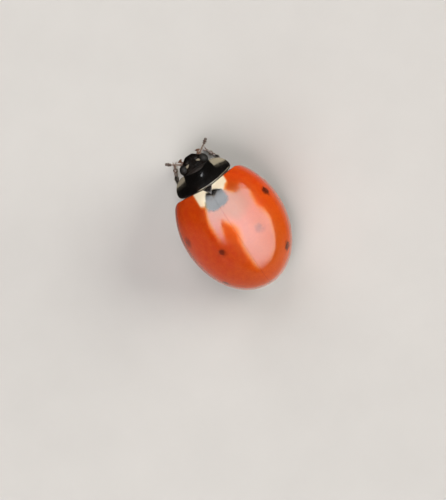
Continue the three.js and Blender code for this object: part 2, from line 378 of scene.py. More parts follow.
class LadybirdSizes(bpy.types.PropertyGroup):
    """Sizes that a user would change."""

    shell: length_property("Shell thickness", "Thickness of a wing case", 0.12)
    bead: length_property("Margin bead", "Radius of the rolled edge round the wing cases", 0.01)
    seam: length_property("Seam", "Air between the two wing cases", 0.003)
    epipleuron: length_property("Folded edge", "Width of the folded-in edge below each wing case", 0.46)
    pit_spacing: length_property("Pit spacing", "Distance between the fine pits of the shell", 0.055)
    scutellar_spot: length_property("Shared spot", "Half width of the spot behind the scutellum", 0.64)
    claw: length_property("Claw", "Length of a claw", 0.2)
    hair: length_property("Hair", "Length of the longest hairs", 0.11)
    hair_count: IntProperty(name="Hairs", description="Hairs on each leg", default=150, min=0)


class LadybirdColors(bpy.types.PropertyGroup):
    """Colours that a user would change."""

    red: color_property("Red", "Ground colour of the wing cases", (0.53, 0.041, 0.003))
    orange: color_property("Orange", "Ground colour towards the tips", (0.55, 0.075, 0.004))
    # Painted shade: the duller red that case_ground paints on top of the back.
    painted_shade_red: color_property("Dusk", "Duller red on top of the back", (0.29, 0.075, 0.01))
    amber: color_property("Amber", "Fringe between cream and red", (0.74, 0.26, 0.05))
    cream: color_property("Cream", "Pale patches", (0.74, 0.66, 0.5))
    black: color_property("Black", "Spots, pronotum and head", (0.0045, 0.004, 0.0038))
    brown: color_property("Brown", "Feelers and feet", (0.10, 0.042, 0.016))
    eye: color_property("Eye", "Facets of the eyes", (0.016, 0.015, 0.013))
    eye_groove: color_property("Eye grooves", "Grooves between the facets", (0.003, 0.003, 0.003))
    hair: color_property("Hair", "Pale hairs", (0.42, 0.37, 0.3))
    hair_dark: color_property("Dark hair", "Darker parts of the hairs", (0.2, 0.16, 0.12))
    floor: color_property("Floor", "Paper floor", (0.6, 0.605, 0.605))
    backdrop: color_property("Backdrop", "Paper behind the floor", (0.80, 0.795, 0.79))


class LadybirdLight(bpy.types.PropertyGroup):
    """Camera and light."""

    camera_distance: length_property("Camera distance", "Camera to insect", 120)
    frame_height: length_property("Frame height", "Height that the view takes in", 25)
    sky: light_property("Sky card", "large overhead card", 7.4)
    key: light_property("Key", "soft light from the right", 4.6)
    fill: light_property("Fill", "soft light from the left and behind", 2.5)
    front: light_property("Front", "soft light from ahead", 1.6)
    bowl: light_property("Bowl", "bowl that the gloss shows, straight below", 0.45)
    haze: light_property("Haze", "bowl's left and rear side", 0.3)
    ambient: light_property("Ambient", "surrounding light", 0.03)


def sizes():
    """The sizes in millimetres."""
    group = bpy.context.scene.ladybird_sizes
    return {key: getattr(group, key) / MM for key in LadybirdSizes.__annotations__ if key != "hair_count"}


def color(name, share=1.0):
    """A named colour times share, with full alpha."""
    return (*(share * c for c in getattr(bpy.context.scene.ladybird_colors, name)), 1.0)


# ---- Materials ----
class Finish:
    """A shaded material and short names for the nodes that pattern it. Positions are in millimetres."""

    def __init__(self, name, base, roughness, coat=0.0, coat_roughness=0.1, ior=1.5, specular=0.5):
        self.material = bpy.data.materials.new(name)
        self.material.use_nodes = True
        self.tree = self.material.node_tree
        self.shader = self.tree.nodes["Principled BSDF"]
        self.shader.inputs["Base Color"].default_value = base
        self.shader.inputs["Roughness"].default_value = roughness
        self.shader.inputs["IOR"].default_value = ior
        self.shader.inputs["Specular IOR Level"].default_value = specular
        self.shader.inputs["Coat Weight"].default_value = coat
        self.shader.inputs["Coat Roughness"].default_value = coat_roughness
        own = self.node("TexCoord").node.outputs["Object"]
        scaled = self.node("VectorMath", own, (1 / MM, 1 / MM, 1 / MM), operation="MULTIPLY")
        self.place = self.node("VectorMath", scaled, (0, -ZERO_Y, 0), operation="ADD")

    def feed(self, socket, value):
        """Links a pattern to a socket, or sets the socket's own value."""
        if isinstance(value, bpy.types.NodeSocket):
            self.tree.links.new(value, socket)
        else:
            socket.default_value = value

    def node(self, kind, *values, **settings):
        """Adds a node, feeds its first inputs, and returns its first output."""
        made = self.tree.nodes.new("ShaderNode" + kind)
        for key, value in settings.items():
            setattr(made, key, value)
        for socket, value in zip(made.inputs, values):
            self.feed(socket, value)
        return made.outputs[0]

    def math(self, operation, *values):
        """The result of a Math node."""
        return self.node("Math", *values, operation=operation)

    def axis(self, name):
        """x, y or z of the place on the insect."""
        return self.node("SeparateXYZ", self.place).node.outputs["XYZ".index(name)]

    def side(self):
        """Distance from the middle line."""
        return self.math("ABSOLUTE", self.axis("X"))

    def on_left(self):
        """1 on the insect's left and 0 on its right."""
        return self.math("GREATER_THAN", self.axis("X"), 0.0)

    def noise(self, spacing, detail=2.0, low=0.0, high=1.0):
        """Soft noise with features about spacing apart, from low to high."""
        made = self.node("TexNoise", self.place)
        made.node.inputs["Scale"].default_value = 1 / spacing
        made.node.inputs["Detail"].default_value = detail
        return self.node("MapRange", made.node.outputs["Fac"], 0.3, 0.7, low, high)

    def cells(self, spacing, scatter=1.0):
        """Distance to the nearest of many points, 0 at a point. Less scatter puts them in neater rows."""
        made = self.node("TexVoronoi", self.place)
        made.node.inputs["Scale"].default_value = 1 / spacing
        made.node.inputs["Randomness"].default_value = scatter
        return made.node.outputs["Distance"]

    def ramp(self, value, start, end):
        """1 before start, 0 past end, smooth between."""
        return self.node("MapRange", value, start, end, 1.0, 0.0, interpolation_type="SMOOTHSTEP")

    def rise(self, value, start, end):
        """0 before start, 1 past end, smooth between."""
        return self.math("SUBTRACT", 1.0, self.ramp(value, start, end))

    def both(self, first, second):
        """A mask where two masks overlap."""
        return self.math("MULTIPLY", first, second)

    def either(self, first, second):
        """A mask that joins two masks."""
        return self.math("MAXIMUM", first, second)

    def spot(self, centre, radii, soft=0.12, wobble=0.0, both_sides=True, power=2.0, slant=0.0):
        """A mask that is 1 inside a rounded spot, which has two or three axes.

        Slant is how far the spot runs along y for each step sideways.
        """
        x = self.side() if both_sides else self.axis("X")
        y = self.axis("Y")
        if slant:
            y = self.math("ADD", self.math("MULTIPLY_ADD", x, -slant, y), slant * centre[0])
        total = 0.0
        for value, middle, radius in zip((x, y, self.axis("Z")), centre, radii):
            away = self.math("ABSOLUTE", self.math("MULTIPLY_ADD", value, 1 / radius, -middle / radius))
            total = self.math("ADD", total, self.math("POWER", away, power))
        reach = self.math("POWER", total, 1 / power)
        if wobble:
            reach = self.math("ADD", reach, self.noise(0.16, 0.0, -wobble, wobble))
        return self.ramp(reach, 1 - soft, 1 + soft)

    def mix(self, mask, under, over):
        """Over where the mask is 1, under where it is 0."""
        made = self.tree.nodes.new("ShaderNodeMix")
        made.data_type = "RGBA"
        for index, value in ((0, mask), (6, under), (7, over)):
            self.feed(made.inputs[index], value)
        return made.outputs[2]

    def mottle(self, spacing, detail, share, under, over):
        """Soft flecks of over on under, up to share of it."""
        return self.mix(self.noise(spacing, detail, 0.0, share), under, over)

    def paint(self, pattern):
        """Gives the whole surface its colour."""
        self.feed(self.shader.inputs["Base Color"], pattern)

    def polish(self, spacing, low, high, detail=3.0):
        """Lets the roughness wander between low and high."""
        self.feed(self.shader.inputs["Roughness"], self.noise(spacing, detail, low, high))

    def bump(self, height, depth):
        """Raises the surface by height times depth in millimetres."""
        made = self.node("Bump")
        made.node.inputs["Distance"].default_value = depth * MM
        made.node.inputs["Strength"].default_value = 1.0
        self.feed(made.node.inputs["Height"], height)
        below = self.shader.inputs["Normal"]
        if below.links:
            self.feed(made.node.inputs["Normal"], below.links[0].from_socket)
        self.feed(below, made)

    def pits(self, spacing, reach, depth):
        """Presses small pits into the surface. Reach is a pit's radius as a share of the spacing."""
        self.bump(self.math("MULTIPLY", self.ramp(self.cells(spacing), 0.0, reach), -1.0), depth)


# The three spots of each wing case, left and then right: x, y, radius, how dark, how soft and how ragged.
SPOTS = (
    (2.32, 1.5, 0.22, 0.5, 0.6, 0.15),
    (1.13, 2.83, 0.13, 0.65, 0.5, 0.2),
    (1.88, 4.22, 0.17, 0.65, 0.45, 0.15),
    (-2.3, 1.44, 0.2, 0.8, 0.5, 0.2),
    (-1.06, 2.8, 0.18, 0.32, 0.6, 0.2),
    (-1.72, 4.32, 0.22, 0.75, 0.5, 0.15),
)


def case_ground(finish):
    """Red of the wing cases: more orange towards the tips and flecked, with painted shade on top of the back
    and a painted orange glow beside the seam.
    """
    along = finish.math("MULTIPLY_ADD", finish.axis("X"), -0.8, finish.axis("Y"))
    front = finish.ramp(finish.math("ADD", along, finish.noise(0.9, 3.0, -0.6, 0.6)), 2.2, 5.2)
    ground = finish.mix(front, color("orange"), color("red"))
    ground = finish.mottle(0.3, 4.0, 0.6, ground, color("orange", 1.1))
    ground = finish.mottle(0.09, 1.0, 0.35, ground, color("red", 0.8))
    # Painted shade: a duller red on top of the back, mostly on its right, where the overhead card's highlight
    # lies.
    painted_shade_front = finish.spot((-0.45, 1.15), (1.15, 0.95), soft=0.6, both_sides=False)
    painted_shade_rear = finish.spot((-0.85, 2.9), (1.05, 1.8), soft=0.5, both_sides=False)
    painted_shade = finish.either(finish.both(painted_shade_front, 0.85), finish.both(painted_shade_rear, 0.45))
    ground = finish.mix(painted_shade, ground, color("painted_shade_red"))
    # Painted light: a brighter orange glow left of the seam, between the lobes of the overhead card's
    # highlight.
    painted_glow = finish.spot((0.15, 2.2), (0.4, 0.75), soft=0.7, both_sides=False)
    return finish.mix(finish.both(painted_glow, 0.6), ground, color("orange", 1.25))


def case_cream(finish, ground):
    """A cream patch with an amber fringe at the front of each wing case, narrower and longer on the left,
    where it is painted brighter as painted light.
    """
    slope = finish.math("MULTIPLY_ADD", finish.on_left(), -0.36, 0.8)
    behind = finish.math("MULTIPLY_ADD", finish.side(), slope, finish.axis("Y"))
    beside = finish.math("MULTIPLY_ADD", finish.on_left(), 0.16, finish.side())
    ragged = finish.math("ADD", behind, finish.noise(0.3, 1.0, -0.03, 0.03))
    fringe = finish.both(finish.ramp(behind, 0.72, 0.98), finish.ramp(beside, 0.9, 1.06))
    patch = finish.both(finish.ramp(ragged, 0.66, 0.82), finish.ramp(beside, 0.9, 1.0))
    # Painted light: the left patch is painted brighter than the right one.
    pale = finish.mix(finish.on_left(), color("cream"), color("cream", 1.15))
    return finish.mix(patch, finish.mix(fringe, ground, color("amber")), pale)


def case_spots(finish):
    """A mask of the shared spot behind the scutellum, which has slanting sides, and of each case's three."""
    slope = finish.math("MULTIPLY_ADD", finish.on_left(), 0.85, -1.6)
    flank = finish.math("MULTIPLY_ADD", finish.axis("Y"), slope, finish.side())
    flank = finish.math("ADD", flank, finish.noise(0.15, 2.0, -0.03, 0.03))
    shared = finish.spot((0, 0.46), (sizes()["scutellar_spot"], 0.5), soft=0.16, wobble=0.04, power=2.8)
    dark = finish.both(shared, finish.ramp(flank, 0.18, 0.32))
    for x, y, radius, strength, soft, ragged in SPOTS:
        centre = (x, y, float(back_height(x, y)))
        spot = finish.spot(centre, (radius, radius * 1.1, radius * 1.3), soft, ragged, both_sides=False)
        dark = finish.either(dark, finish.both(spot, strength))
    return dark


@cache
def wing_case_finish():
    """Glossy red shell with dark spots, cream base patches, painted shade and glow, and fine pits."""
    finish = Finish("wing_case_shell", color("red"), 0.18, coat=1.0, specular=0.15)
    ground = case_cream(finish, case_ground(finish))
    seam = finish.ramp(finish.side(), 0.003, 0.01)
    ground = finish.mix(seam, ground, color("red", 0.8))
    halo = finish.both(finish.spot((1.1, 2.87), (0.26, 0.22), soft=0.5), finish.noise(0.2, 1.0, 0.15, 0.5))
    ground = finish.mix(halo, ground, color("red", 0.4))
    finish.paint(finish.mix(case_spots(finish), ground, color("black")))
    finish.pits(sizes()["pit_spacing"], 0.26, 0.002)
    finish.bump(finish.noise(0.45, 3.0), 0.012)
    finish.polish(0.25, 0.14, 0.22)
    return finish.material


@cache
def pronotum_finish():
    """Glossy black plate with cream front corners that fade into painted shade, a painted gleam near its rear
    edge, and fine pits.
    """
    finish = Finish("pronotum_shell", color("black"), 0.2, coat=0.4)
    y, side = finish.axis("Y"), finish.side()
    ragged = finish.noise(0.12, 2.0, -0.03, 0.03)
    inward = finish.math("ADD", finish.math("MULTIPLY_ADD", y, -0.23, side), ragged)
    back = finish.math("ADD", finish.math("MULTIPLY_ADD", side, -0.11, y), ragged)
    back = finish.math("MULTIPLY_ADD", finish.on_left(), 0.1, back)
    # Painted shade: below each cream patch the cream shows only as a faint mottle, where the patch falls into
    # shade.
    shade = finish.both(finish.ramp(back, -1.1, -0.85), finish.noise(0.12, 3.0, 0.0, 0.3))
    front = finish.either(finish.ramp(back, -1.15, -1.05), shade)
    patch = finish.both(finish.rise(inward, 1.03, 1.07), front)
    pale = finish.mottle(0.2, 3.0, 0.5, color("cream", 0.42), color("cream", 0.28))
    ground = finish.mix(patch, color("black"), pale)
    # Painted reflection: a pale gleam line near the rear edge, mostly on the right half.
    rear_y, rear_drop, rear_x = PRONOTUM_REAR
    rear = finish.math("MULTIPLY_ADD", finish.math("MULTIPLY", side, side), -rear_drop / rear_x**2, rear_y)
    off_hem = finish.math("ABSOLUTE", finish.math("ADD", finish.math("SUBTRACT", rear, y), -0.055))
    off_middle = finish.math("ABSOLUTE", finish.math("ADD", finish.axis("X"), 0.45))
    painted_gleam = finish.both(finish.ramp(off_hem, 0.014, 0.04), finish.ramp(off_middle, 0.85, 1.05))
    painted_gleam = finish.both(painted_gleam, finish.noise(0.25, 2.0, 0.3, 1.0))
    finish.paint(finish.mix(painted_gleam, ground, color("cream", 0.4)))
    finish.pits(0.06, 0.3, 0.003)
    finish.bump(finish.noise(0.35, 2.0), 0.004)
    finish.polish(0.2, 0.14, 0.22)
    return finish.material


@cache
def scutellum_finish():
    """Glossy black with a few pits."""
    finish = Finish("scutellum_shell", color("black"), 0.2, coat=0.3, coat_roughness=0.12)
    finish.paint(finish.mottle(0.1, 2.0, 1.0, color("black"), color("brown", 0.1)))
    finish.pits(0.05, 0.3, 0.003)
    finish.polish(0.1, 0.17, 0.26, detail=2.0)
    return finish.material


@cache
def head_finish():
    """Black head with a pale spot beside each eye and fine pits."""
    finish = Finish("head_shell", color("black"), 0.25, specular=0.18)
    spot = finish.spot((0.36, -1.67), (0.14, 0.055), soft=0.3, wobble=0.1, slant=0.35)
    spot = finish.both(spot, finish.rise(finish.axis("Z"), RIM + 0.4, RIM + 0.45))
    ground = finish.mottle(0.15, 2.0, 0.6, color("black", 0.7), color("brown", 0.06))
    finish.paint(finish.mix(spot, ground, color("cream", 0.45)))
    finish.pits(0.055, 0.4, 0.005)
    finish.polish(0.1, 0.2, 0.3)
    return finish.material


@cache
def eye_finish():
    """Dark eye with fine raised facets."""
    finish = Finish("eye_facets", color("eye"), 0.5, ior=1.33, specular=0.3)
    facet = finish.ramp(finish.cells(0.024, scatter=0.4), 0.15, 0.6)
    finish.paint(finish.mix(facet, color("eye_groove"), color("eye")))
    finish.bump(facet, 0.006)
    return finish.material


@cache
def body_finish():
    """Satin black underside with fine pits and two pale side plates."""
    finish = Finish("underside", color("black", 1.3), 0.42, coat=0.15, coat_roughness=0.25)
    plate = finish.spot((1.72, 0.06), (0.3, 0.2), soft=0.1, wobble=0.05, power=1.6)
    pale = finish.mottle(0.15, 2.0, 0.5, color("cream", 0.8), color("cream", 0.5))
    ground = finish.mottle(0.3, 3.0, 0.7, color("black", 1.3), color("brown", 0.16))
    finish.paint(finish.mix(plate, ground, pale))
    finish.pits(0.05, 0.35, 0.004)
    finish.polish(0.12, 0.34, 0.52)
    return finish.material


@cache
def leg_finish():
    """Satin black that turns brown towards the feet."""
    finish = Finish("leg_shell", color("black"), 0.36, coat=0.2, coat_roughness=0.2)
    low = finish.ramp(finish.axis("Z"), 0.1, 0.34)
    brown = finish.mix(finish.noise(0.12, 2.0, 0.2, 0.8), color("brown", 0.25), color("brown", 0.7))
    black = finish.mottle(0.15, 3.0, 0.6, color("black"), color("brown", 0.18))
    finish.paint(finish.mix(low, black, brown))
    finish.bump(finish.ramp(finish.cells(0.045), 0.1, 0.5), 0.004)
    finish.polish(0.08, 0.3, 0.46)
    return finish.material


@cache
def feeler_finish():
    """Brown feeler that darkens towards the club."""
    finish = Finish("feeler_brown", color("brown"), 0.42, coat=0.1, coat_roughness=0.3)
    club = finish.both(finish.rise(finish.side(), 0.75, 1.1), finish.noise(0.1, 2.0, 0.7, 1.0))
    finish.paint(finish.mix(club, color("brown"), color("brown", 0.2)))
    finish.bump(finish.noise(0.03, 2.0), 0.004)
    finish.polish(0.08, 0.35, 0.5, detail=2.0)
    return finish.material


@cache
def claw_finish():
    """Clear amber-brown claws."""
    finish = Finish("claw_amber", color("brown", 1.4), 0.25, coat=0.3, coat_roughness=0.15)
    finish.paint(finish.mottle(0.05, 2.0, 1.0, color("brown", 0.8), color("brown", 1.8)))
    finish.bump(finish.noise(0.03, 2.0), 0.002)
    return finish.material


@cache
def hair_finish():
    """Pale grey-brown hairs."""
    finish = Finish("hair_pale", color("hair"), 0.5)
    finish.paint(finish.mottle(0.1, 2.0, 1.0, color("hair_dark"), color("hair")))
    finish.bump(finish.noise(0.02, 1.0), 0.001)
    return finish.material


# ---- Wing cases ----
# Places of the cross-sections close to the front edge and the tip, as shares of the way between them.
CROWDED_FRONT = (0, 0.002, 0.004, 0.007, 0.011, 0.016, 0.022, 0.03)
CROWDED_REAR = (0.99, 0.994, 0.997, 0.999, 1)
SEAM_ANGLES = (0, 0.04, 0.1, 0.2, 0.6, 1.3)  # the same close to the seam, in degrees from it round to the rim
TIP_ANGLE = 89.85  # degrees from the widest station to the last cross-section
FRONT_ROUND = 0.045  # rounding of the front edge
SEAM_ROUND = 0.004  # rounding of the edges at the seam


def edge_drop(away, radius):
    """How far a quarter-round edge has dropped at a distance away from its end."""
    return radius * (1 - np.sqrt(1 - (1 - np.clip(away / radius, 0, 1)) ** 2))


def front_angles(across, half_width, half_length):
    """Angles along the left wing case at which its front edge crosses the lines at the angles across."""
    grid = np.radians(np.linspace(-60, 60, 2401))
    start = []
    for angle in across:
        x = half_width * np.cos(grid) * math.sin(angle)
        y = CASE_MIDDLE + half_length * np.sin(grid)
        rise = CASE_RISE * dome_share(np.cos(grid) * math.cos(angle))
        inside = y > case_front(x) + edge_drop(rise, CORNER_ROUND)
        start.append(grid[np.argmax(inside)])
    return np.array(start)


def lower_edge(rim, facing, width, bead):
    """The edge below each point of the rim: rolled under, folded in, and back again on top of the fold."""
    rows = []
    for angle in np.radians(np.linspace(0, -90, 6)):
        rows.append(rim + bead * (math.cos(angle) * facing + np.array((0, 0, math.sin(angle)))))
    for shares, lift in ((np.linspace(0.12, 1, 6), -bead), ((1.0, 0.6, 0.3), 0.02)):
        for share in shares:
            hollow = 0.05 * share + 0.05 * share**2
            rows.append(rim - (width * share)[:, None] * facing + (0, 0, hollow + lift))
    return np.stack(rows, axis=1)


def case_rings(size):
    """Closed cross-sections of the left wing case, and how many of their points are on top."""
    bead, shell = size["bead"], size["shell"]
    half_width, half_length = CASE_HALF_WIDTH - bead, CASE_HALF_LENGTH - bead
    across = np.radians(np.concatenate([SEAM_ANGLES, np.linspace(2.2, 90, 62)]))
    start = front_angles(across, half_width, half_length)
    steps = np.concatenate([CROWDED_FRONT, np.linspace(0.045, 0.985, 82), CROWDED_REAR])
    along = start + (math.radians(TIP_ANGLE) - start) * steps[:, None]

    def dome(inset):
        rise = CASE_RISE - inset
        x = (half_width - inset) * np.cos(along) * np.sin(across)
        y = CASE_MIDDLE + (half_length - inset) * np.sin(along)
        z = RIM + rise * dome_share(np.cos(along) * np.cos(across))
        return np.stack([x, y, z], axis=-1)

    outer, inner = dome(0), dome(shell)
    from_front = (outer[..., 1] - outer[:1, :, 1]) / np.maximum(np.cos(across) * 0.7 + 0.3, 0.3)
    from_seam = outer[..., 0]
    fade = np.clip(np.cos(across) * 3, 0, 1)
    for away, radius in ((from_front, FRONT_ROUND), (from_seam, SEAM_ROUND)):
        outer[..., 2] -= fade * edge_drop(away, radius)
    outer[..., 2] += 0.016 * groove(from_front - 0.05, 0.022) * fade  # low swelling behind the front edge
    flare = bead * np.exp(-(outer[..., 2] - RIM) / (1.6 * bead))
    reach_out = np.stack([np.cos(along) * np.sin(across) / half_width, np.sin(along) / half_length], axis=-1)
    outer[..., :2] += flare[..., None] * unit(reach_out)
    edge = along[:, -1]
    level = np.zeros_like(edge)
    facing = unit(np.stack([np.cos(edge) / half_width, np.sin(edge) / half_length, level], axis=-1))
    rim = outer[:, -1] * (1, 1, 0) - bead * facing + (0, 0, RIM)
    width = size["epipleuron"] * np.clip(np.cos(edge), 0, 1) ** 0.5 + 0.04
    width = width * (0.2 + 0.8 * smooth_step(-0.2, 0.7, rim[:, 1] - rim[0, 1]))
    rings = np.concatenate([outer, lower_edge(rim, facing, width, bead), inner[:, ::-1]], axis=1)
    rings[..., 0] += size["seam"] / 2
    return rings, len(across)


def wing_case(side, sign):
    """One wing case as a closed shell with rolled, rounded edges."""
    rings, top = case_rings(sizes())
    count, around = rings.shape[:2]
    form = Form(sign)
    form.loft(rings, caps=False)
    for first in (0, (count - 1) * around):
        last = first + around - 1
        pairs = [(first + j, first + j + 1, last - 1 - j, last - j) for j in range(top - 1)]
        form.faces.extend([*pairs, tuple(range(first + top - 1, last - top + 2))])
    settle(form.piece(f"wing_case_{side}", wing_case_finish()), "red_shell", f"elytron_{side}")


def scutellum():
    """The small black triangle between the wing cases."""
    half, rear, lift = 0.26, 0.15, 0.03
    edge = ((0.02, 0), (0.3, 0), (0.6, 0.001), (0.8, 0.003), (0.9, 0.008), (0.97, 0.018), (1, 0.04), (1, 0.2))
    corners = np.array([(-half, SCUTELLUM_FRONT), (half, SCUTELLUM_FRONT), (0, rear)])
    share = np.linspace(0, 1, 12, endpoint=False)[:, None]
    outline = np.concatenate([corners[i - 1] + (corners[i] - corners[i - 1]) * share for i in range(3)])
    middle = np.array([0, SCUTELLUM_FRONT + 0.12])
    rings = []
    for reach, drop in edge:
        flat = middle + (outline - middle) * reach
        rings.append(np.column_stack([flat, back_height(flat[:, 0], flat[:, 1]) + lift - drop]))
    form = Form()
    form.loft(rings)
    settle(form.piece("scutellum_plate", scutellum_finish()), "black_shell", "scutellum")


# ---- Pronotum ----
def pronotum_top(x, y):
    """Height of the pronotum above the floor: a crown that falls to the sides and to the front."""
    return RIM + 2.15 - 0.4 * x**2 - 0.05 * x**4 - 0.36 * (y - 0.4) ** 2


def pronotum_edges(x):
    """Front and rear edge of the pronotum at a distance x from the middle."""
    corner_x, corner_y = PRONOTUM_CORNER
    rear_y, rear_drop, rear_x = PRONOTUM_REAR
    beyond = np.clip((x - corner_x) / (PRONOTUM_HALF_WIDTH - corner_x), 0, 1)
    front = np.where(
        x < corner_x,
        PRONOTUM_FRONT + (corner_y - PRONOTUM_FRONT) * smooth_step(0.15, 1.05, x / corner_x),
        PRONOTUM_WIDEST + (corner_y - PRONOTUM_WIDEST) * np.sqrt(1 - beyond**2),
    )
    past = np.clip((x - rear_x) / (PRONOTUM_HALF_WIDTH - rear_x), 0, 1)
    edge = rear_y - rear_drop * np.minimum(1, x / rear_x) ** 2
    rear = PRONOTUM_WIDEST + (edge - PRONOTUM_WIDEST) * np.sqrt(1 - past**2)
    return front, rear


def pronotum():
    """The collar plate, crowned, with a rolled edge and a hollow underside."""
    thickness, roll = 0.16, 0.06
    across = PRONOTUM_HALF_WIDTH * np.sin(np.linspace(-math.pi / 2 + 0.03, math.pi / 2 - 0.03, 97))
    front, rear = pronotum_edges(np.abs(across))
    front_edge, rear_edge = (0, 0.006, 0.015, 0.028, 0.045, 0.07), (0.93, 0.955, 0.972, 0.985, 0.994, 1)
    share = np.concatenate([front_edge, np.linspace(0.1, 0.9, 28), rear_edge])
    y = front[:, None] + (rear - front)[:, None] * share
    x = across[:, None] * np.ones_like(share)
    to_side = PRONOTUM_HALF_WIDTH - np.abs(x)
    away = np.minimum(np.minimum(y - front[:, None], rear[:, None] - y), to_side * 1.5)
    behind = smooth_step(0.5, 0.8, share) + smooth_step(0.45, 0.8, np.abs(x))
    bead = 0.012 * groove(away - 0.055, 0.02) * np.minimum(behind, 1)
    top = np.stack([x, y, pronotum_top(x, y) - edge_drop(away, roll) + bead], axis=-1)
    fill = thickness * np.sqrt(np.clip(away / 0.2, 0, 1))
    low = np.stack([x, y, pronotum_top(x, y) - roll - fill], axis=-1)
    form = Form()
    form.loft(np.concatenate([top, low[:, ::-1]], axis=1))
    settle(form.piece("pronotum_plate", pronotum_finish()), "black_shell", "pronotum")


# ---- Head ----
# Head stations: y, half width, and bottom and top above the rim.
HEAD_STATIONS = (
    (-0.7, 0.5, 0.1, 0.86), (-0.95, 0.68, -0.02, 0.96), (-1.16, 0.735, -0.06, 0.93),
    (-1.4, 0.735, -0.08, 0.79), (-1.6, 0.69, -0.08, 0.67), (-1.8, 0.58, -0.05, 0.54),
    (-1.95, 0.43, 0.0, 0.43), (-2.04, 0.24, 0.1, 0.33),
)
SHIELD_STATIONS = (
    (-1.7, 0.3, 0.3, 0.56), (-1.86, 0.39, 0.22, 0.5), (-2.0, 0.37, 0.16, 0.38), (-2.08, 0.28, 0.14, 0.26),
)
LIP_STATIONS = (
    (-1.9, 0.2, 0.05, 0.2), (-2.0, 0.27, 0.0, 0.19), (-2.1, 0.26, -0.02, 0.14), (-2.15, 0.16, -0.01, 0.07),
)
EYE_AT = (0.57, -1.6, RIM + 0.38)
EYE_SIZE = (0.23, 0.29, 0.32)


def head():
    """Head capsule with its cheeks, forehead shield and upper lip."""
    form = Form()
    form.loft(station_rings(HEAD_STATIONS, around=72))
    form.loft(station_rings(SHIELD_STATIONS, power=3.4))
    form.loft(station_rings(LIP_STATIONS, power=3.0))
    settle(form.piece("head_capsule", head_finish()), "black_shell", "head", "face")


def notched(points):
    """A unit ball with a dent low in front, which makes an eye kidney-shaped."""
    y, z = points[..., 1], points[..., 2]
    cut = 0.22 * np.exp(-((y + 0.75) ** 2 + (z + 0.25) ** 2) / 0.12)
    return points * (1 - cut)[..., None]


def eye(side, sign):
    """One kidney-shaped faceted eye."""
    form = Form(sign)
    form.loft(ball_rings(EYE_AT, EYE_SIZE, notched, around=48, along=36))
    settle(form.piece(f"eye_{side}_facets", eye_finish()), "eye", f"eye_{side}")


# A feeler's line, as x, y and height above the rim. Its eleven segments: length, radius at start, and at end.
FEELER_LINE = ((0.46, -1.86, 0.2), (0.68, -2.02, 0.3), (0.96, -2.2, 0.24), (1.24, -2.42, 0.1))
FEELER_STALK = ((0.2, 0.05, 0.07), (0.1, 0.048, 0.052), (0.11, 0.034, 0.038))
FEELER_WHIP = ((0.07, 0.033, 0.038),) * 5
FEELER_CLUB = ((0.1, 0.045, 0.085), (0.11, 0.07, 0.105), (0.13, 0.09, 0.075))


def feeler(side, sign):
    """One eleven-segment feeler with a three-segment club."""
    line = np.array(FEELER_LINE) + (0, 0, RIM)
    segments = (*FEELER_STALK, *FEELER_WHIP, *FEELER_CLUB)
    total = sum(length for length, _, _ in segments)
    form, coat = Form(sign), Coat(seed=7)
    hair = sizes()["hair"] * 0.5
    start = 0.0
    for length, thin, thick in segments:
        at = np.array([start, start + length / 2, start + length]) / total
        path = smooth_curve(np.linspace(0, 1, len(line)), line, at)
        rings = limb_rings(path, ((0, thin), (0.65, thick), (1, thick * 0.7)), around=18, along=14)
        form.loft(rings)
        coat.grow(mirrored(rings, sign), 24, hair, 0.8)
        start += length * 0.97  # each segment sits a little inside the one before
    nodes = (f"antenna_stem_{side}", f"antenna_club_{side}")
    settle(coat.piece(f"feeler_hairs_{side}", 0.008), "feeler", *nodes)
    settle(form.piece(f"feeler_{side}", feeler_finish()), "feeler", *nodes)


def mouth_parts(side, sign):
    """One jaw palp with its hatchet-shaped last segment, the jaw beside it and the small lip palp."""
    form = Form(sign)

    def limb(line, widths, heights=None, **settings):
        path = np.array(line) + (0, 0, RIM)
        form.loft(limb_rings(path, widths, heights, **settings))

    joints = np.array(((0.3, -1.84, 0.02), (0.36, -1.9, -0.02), (0.46, -2.0, -0.08), (0.5, -2.07, -0.14)))
    for near, far, thin, thick in zip(joints, joints[1:], (0.05, 0.045, 0.045), (0.06, 0.065, 0.06)):
        widths = ((0, thin), (0.7, thick), (1, thick * 0.8))
        limb((near, (near + far) / 2, far), widths, around=16, along=12)
    hatchet = ((0.5, -2.05, -0.12), (0.53, -2.13, -0.21), (0.52, -2.17, -0.32))
    blade = ((0, 0.045), (0.4, 0.085), (0.8, 0.14), (1, 0.11))
    limb(hatchet, blade, ((0, 0.04), (1, 0.045)), up=(0.3, -1, 0.2), around=22)
    jaw = ((0.2, -1.86, 0.04), (0.2, -2.02, -0.02), (0.06, -2.12, -0.06))
    limb(jaw, ((0, 0.08), (0.5, 0.07), (1, 0.02)), ((0, 0.06), (1, 0.02)), around=16)
    lip_palp = ((0.12, -1.82, -0.08), (0.15, -1.95, -0.16), (0.16, -2.02, -0.2))
    limb(lip_palp, ((0, 0.035), (0.6, 0.04), (1, 0.025)), ((0, 0.035), (1, 0.03)), around=14)
    settle(form.piece(f"mouth_parts_{side}", feeler_finish()), "feeler", f"palp_{side}")


# ---- Underside ----
BELLY_HALF_WIDTH = 2.24
BELLY_HALF_LENGTH = 3.06
BELLY_DEPTH = 0.32
BREAST_FRONT = -0.52
WAIST = 1.35  # where the breast ends and the belly begins
VENTRITES = (WAIST, 2.1, 2.75, 3.3, 3.78, 4.2, 5.2)  # edges of the belly's rings
# The body under the front of the wing cases: y, half width, and bottom and top above the rim.
COLLAR_STATIONS = (
    (-0.5, 0.8, 0.3, 1.3), (-0.4, 1.4, 0.1, 1.62), (-0.2, 1.72, 0.0, 1.82), (0.2, 1.85, 0.0, 1.9),
    (0.6, 1.4, 0.1, 1.7),
)


